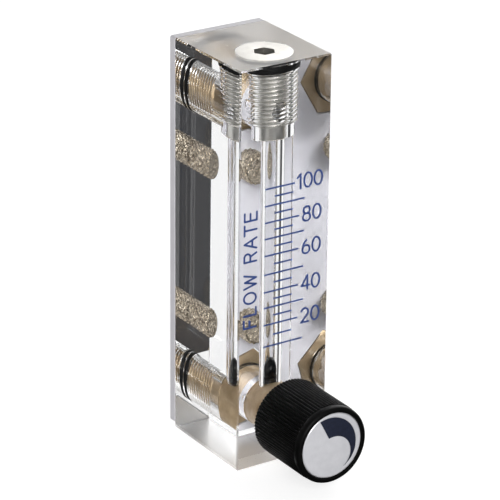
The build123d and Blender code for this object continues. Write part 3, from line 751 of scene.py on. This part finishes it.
def make_cap():
    """The dome, whose edge is rolled over."""
    edge_y, roll, roll_steps, dome_steps = cap_high.y - 0.9, 0.75, 9, 24
    rise = edge_y - cap_low.y
    sphere_r = (CAP_R ** 2 + rise ** 2) / (2 * rise)

    def dome_y(radius):
        return cap_low.y + sphere_r - sqrt(sphere_r ** 2 - radius ** 2)

    roll_y = edge_y + 0.45
    outline = [(0, cap_high.y), (CAP_R, cap_high.y)]
    for step in range(roll_steps):
        turn = step / roll_steps * pi / 2
        outline.append((CAP_R - roll * (1 - cos(turn)),
                        roll_y - (roll_y - dome_y(CAP_R - roll)) * sin(turn)))
    for step in range(dome_steps, 0, -1):
        radius = (CAP_R - roll) * step / dome_steps
        outline.append((radius, dome_y(radius)))
    outline.append((0, cap_low.y))
    return finish(turned("domed_cap", outline, back(PORT_Z), FINE), SILVER, "knob_and_stem",
                  "silver_cap", "knob_cap", angle=50)


make_knob()
make_bushing()
make_set_screw()
make_cap()

# --- pieces whose CAD shape is right: they only take a finish -------------------------------
for name, paint in (("needle_stem", STEEL), ("stem_stop_clip", STEEL),
                    ("backing_plate", BACKING), ("scale_ticks", BLUE_INK),
                    ("scale_numerals", BLUE_INK), ("scale_lettering", BLUE_INK),
                    ("knob_arrow", NAVY_INK)):
    nodes[name].data.materials.clear()
    nodes[name].data.materials.append(paint)


# --- studio -----------------------------------------------------------------------------------
AIM = (0, 0, 50)                  # the middle of the block


def flat_paint(name, colour, roughness=0.6):
    paint = Paint(name, Roughness=roughness, Base_Color=(*colour, 1))
    return paint.material


def card(name, centre, width, height, facing, paint):
    """A flat card, its face towards a point."""
    build = bmesh.new()
    bmesh.ops.create_grid(build, x_segments=1, y_segments=1, size=0.5)
    aim = (Vector(facing) - Vector(centre)).to_track_quat("Z", "Y").to_matrix().to_4x4()
    build.transform(Matrix.Translation(centre) @ aim @ Matrix.Diagonal((width, height, 1, 1)))
    made = new_object(name, build)
    made.data.transform(Matrix.Diagonal((MM, MM, MM, 1)))
    made.data.materials.append(paint)
    return made


def lamp(name, centre, size, power):
    """A square soft lamp that points at the middle of the block."""
    data = bpy.data.lights.new(name, "AREA")
    data.shape = "RECTANGLE"
    data.size = data.size_y = size * MM
    data.energy = power
    made = bpy.data.objects.new(name, data)
    bpy.context.scene.collection.objects.link(made)
    made.location = Vector(centre) * MM
    made.rotation_mode = "QUATERNION"
    made.rotation_quaternion = (Vector(AIM) - Vector(centre)).to_track_quat("-Z", "Y")


FLOOR_Z = -0.25
CARD_Z = -0.2                     # just above the floor
# Grey of the two camera-hidden cards: painted shade for the unlit surroundings that reflections and the
# acrylic show.
PAINTED_SHADE_GREY = (0.02, 0.02, 0.023)


def glowing(name, colour, strength):
    """Matt white that also glows a little, as a lit light table does."""
    paint = Paint(name, Roughness=0.7, Base_Color=(*colour, 1), Emission_Color=(1, 1, 1, 1),
                  Emission_Strength=strength)
    return paint.material


def unseen(piece):
    """Keeps a card to reflections and what is seen through the acrylic."""
    piece.visible_camera = False
    piece.visible_shadow = False
    piece.visible_diffuse = False
    return piece


card("floor", (0, 0, FLOOR_Z), 6000, 6000, (0, 0, 1000), glowing("floor", (0.40, 0.40, 0.40), 0.75))
# Dark cards seen only in reflections and through the acrylic: painted shade on the floor in front of
# and to the left of the block.
unseen(card("painted_shade_front", (150, -440, CARD_Z), 1500, 840, (150, -440, 1000),
            flat_paint("painted_shade_front", PAINTED_SHADE_GREY)))
painted_shade_left = unseen(card("painted_shade_left", (-264, 150, CARD_Z), 500, 400, (-264, 150, 1000),
                        flat_paint("painted_shade_left", PAINTED_SHADE_GREY)))
painted_shade_left.visible_transmission = False
unseen(card("back_wall", (550, 840, 330), 1400, 660, AIM,
            glowing("back_wall", (0.5, 0.5, 0.5), 0.85)))

world = bpy.data.worlds.new("studio")
bpy.context.scene.world = world
world.use_nodes = True
world.node_tree.nodes["Background"].inputs["Color"].default_value = (1, 1, 1, 1)
world.node_tree.nodes["Background"].inputs["Strength"].default_value = 0.32

lamp("key", (-330, -750, 480), 420, 5.0)
lamp("spark", (-240, -720, 300), 50, 0.7)
lamp("rear", (450, 350, 600), 500, 1.8)

# --- camera -------------------------------------------------------------------------------------
CAMERA = (-366.669, -559.961, 331.444)
YAW, PITCH, ROLL = radians(33.1975), radians(22.8168), radians(0.6022)
FOCAL, SENSOR = 218.13, 36.0
ahead = Vector((sin(YAW) * cos(PITCH), cos(YAW) * cos(PITCH), -sin(PITCH)))
level = Vector((cos(YAW), -sin(YAW), 0))
upright = level.cross(ahead)
right = cos(ROLL) * level + sin(ROLL) * upright
top = -sin(ROLL) * level + cos(ROLL) * upright
lens = bpy.data.cameras.new("camera")
lens.lens, lens.sensor_width = FOCAL, SENSOR
lens.clip_start, lens.clip_end = 0.01, 20
camera = bpy.data.objects.new("camera", lens)
bpy.context.scene.collection.objects.link(camera)
camera.matrix_world = Matrix.Translation(Vector(CAMERA) * MM) @ Matrix(
    (right, top, -ahead)).transposed().to_4x4()
scene = bpy.context.scene
scene.camera = camera
scene.view_settings.view_transform = "Standard"
scene.cycles.max_bounces = 32
scene.cycles.transmission_bounces = 32
scene.cycles.glossy_bounces = 12
scene.cycles.transparent_max_bounces = 32
